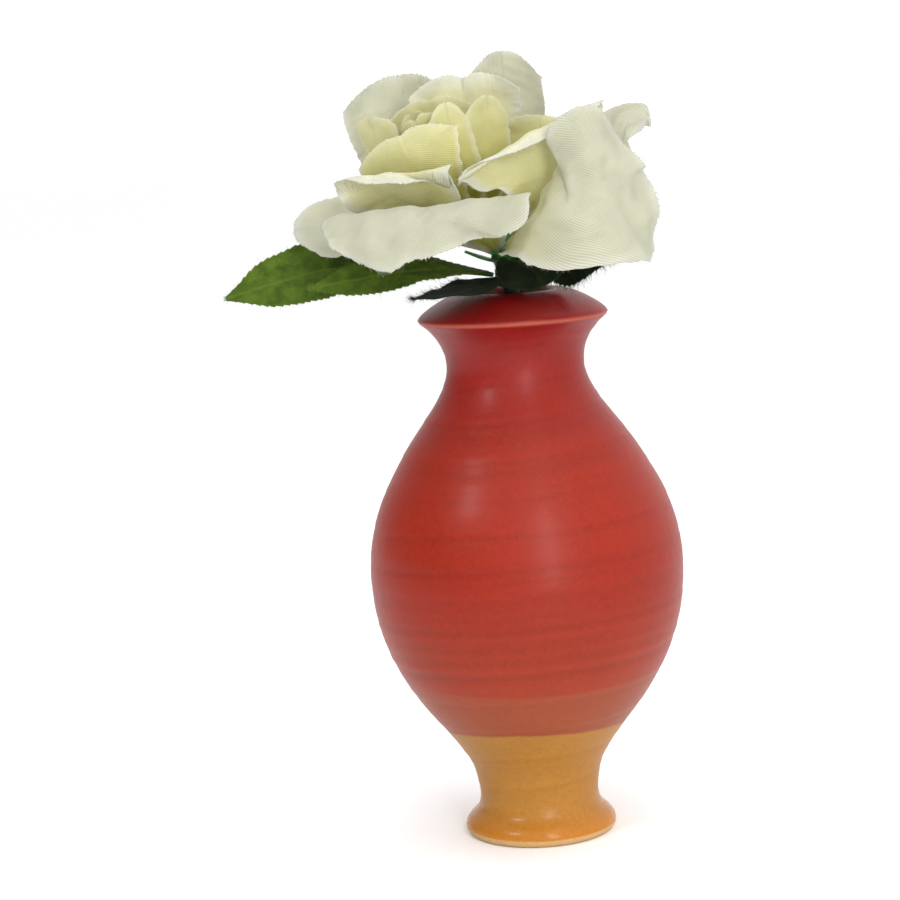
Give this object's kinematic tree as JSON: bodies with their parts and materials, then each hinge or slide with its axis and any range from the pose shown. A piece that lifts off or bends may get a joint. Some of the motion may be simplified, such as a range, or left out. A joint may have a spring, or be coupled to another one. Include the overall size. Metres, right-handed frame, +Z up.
{
  "type": "bud vase",
  "caption": "Hand-thrown stoneware bud vase with a waisted foot, round belly, narrow neck and bevelled lip, holding a removable fabric rose on a short stem with bendable leaves",
  "frame": {"origin": "centre of the vase's flat foot", "axes": "+Z up the vase's axis, -Y towards the front of the rose, +X to the viewer's right"},
  "size_m": [0.1055, 0.0819, 0.1893],
  "materials": {
    "vase_glaze": "satin coral-red glaze over amber, bare cream clay at the foot",
    "stem_wire": "plain drawn wire",
    "green_plastic": "moulded green plastic",
    "outer_petal_cloth": "thin white woven polyester",
    "inner_petal_cloth": "thin woven polyester dyed cream-yellow",
    "leaf_cloth": "woven olive-green polyester",
    "dark_leaf_cloth": "woven dark green polyester"
  },
  "bodies": {
    "vase": {"vase_body": "vase_glaze"},
    "stem": {"stem_wire": "stem_wire", "stem_sheath": "green_plastic"},
    "head": {"leaf_collar": "green_plastic", "calyx": "green_plastic", "flower_core": "green_plastic", "bud_pin": "green_plastic", "outer_petal_front": "outer_petal_cloth", "outer_petal_right": "outer_petal_cloth", "outer_petal_right_back": "outer_petal_cloth", "outer_petal_back_right": "outer_petal_cloth", "outer_petal_back_left": "outer_petal_cloth", "outer_petal_left": "outer_petal_cloth", "middle_petal_right": "inner_petal_cloth", "middle_petal_left": "inner_petal_cloth", "middle_petal_back": "inner_petal_cloth", "middle_petal_back_right": "inner_petal_cloth", "inner_petal_front": "inner_petal_cloth", "inner_petal_left": "inner_petal_cloth", "inner_petal_back": "inner_petal_cloth", "inner_petal_right": "inner_petal_cloth", "inner_petal_front_right": "inner_petal_cloth", "bud_petal_outer": "inner_petal_cloth", "bud_petal_inner": "inner_petal_cloth", "sepal_front": "dark_leaf_cloth"},
    "leaf_left": {"leaf_left": "leaf_cloth", "leaf_left_rib": "green_plastic"},
    "leaf_front_left": {"leaf_front_left": "leaf_cloth", "leaf_front_left_rib": "green_plastic"},
    "leaf_front": {"leaf_front": "dark_leaf_cloth", "leaf_front_rib": "green_plastic"},
    "leaf_right": {"leaf_right": "dark_leaf_cloth", "leaf_right_rib": "green_plastic"}
  },
  "joints": [
    {"name": "stem_lift", "type": "slide", "parent": "vase", "child": "stem", "axis": [0, 0, 1], "range_m": [0, 0.13]},
    {"name": "head_turn", "type": "hinge", "parent": "stem", "child": "head", "pos_m": [0, 0, 0.1375], "axis": [0, 0, 1], "continuous": true},
    {"name": "leaf_left_bend", "type": "hinge", "parent": "head", "child": "leaf_left", "pos_m": [-0.0045, -0.001, 0.1369], "axis": [-0.16, 0.9871, 0], "range_deg": [-6, 6]},
    {"name": "leaf_front_left_bend", "type": "hinge", "parent": "head", "child": "leaf_front_left", "pos_m": [-0.004, -0.0032, 0.1369], "axis": [-0.6606, 0.7507, 0], "range_deg": [-4, 6]},
    {"name": "leaf_front_bend", "type": "hinge", "parent": "head", "child": "leaf_front", "pos_m": [-0.001, -0.005, 0.136], "axis": [-0.8486, 0.5291, 0], "range_deg": [-4, 2]},
    {"name": "leaf_right_bend", "type": "hinge", "parent": "head", "child": "leaf_right", "pos_m": [0.0048, -0.0013, 0.1369], "axis": [-0.46, -0.8879, 0], "range_deg": [-5, 5]}
  ]
}
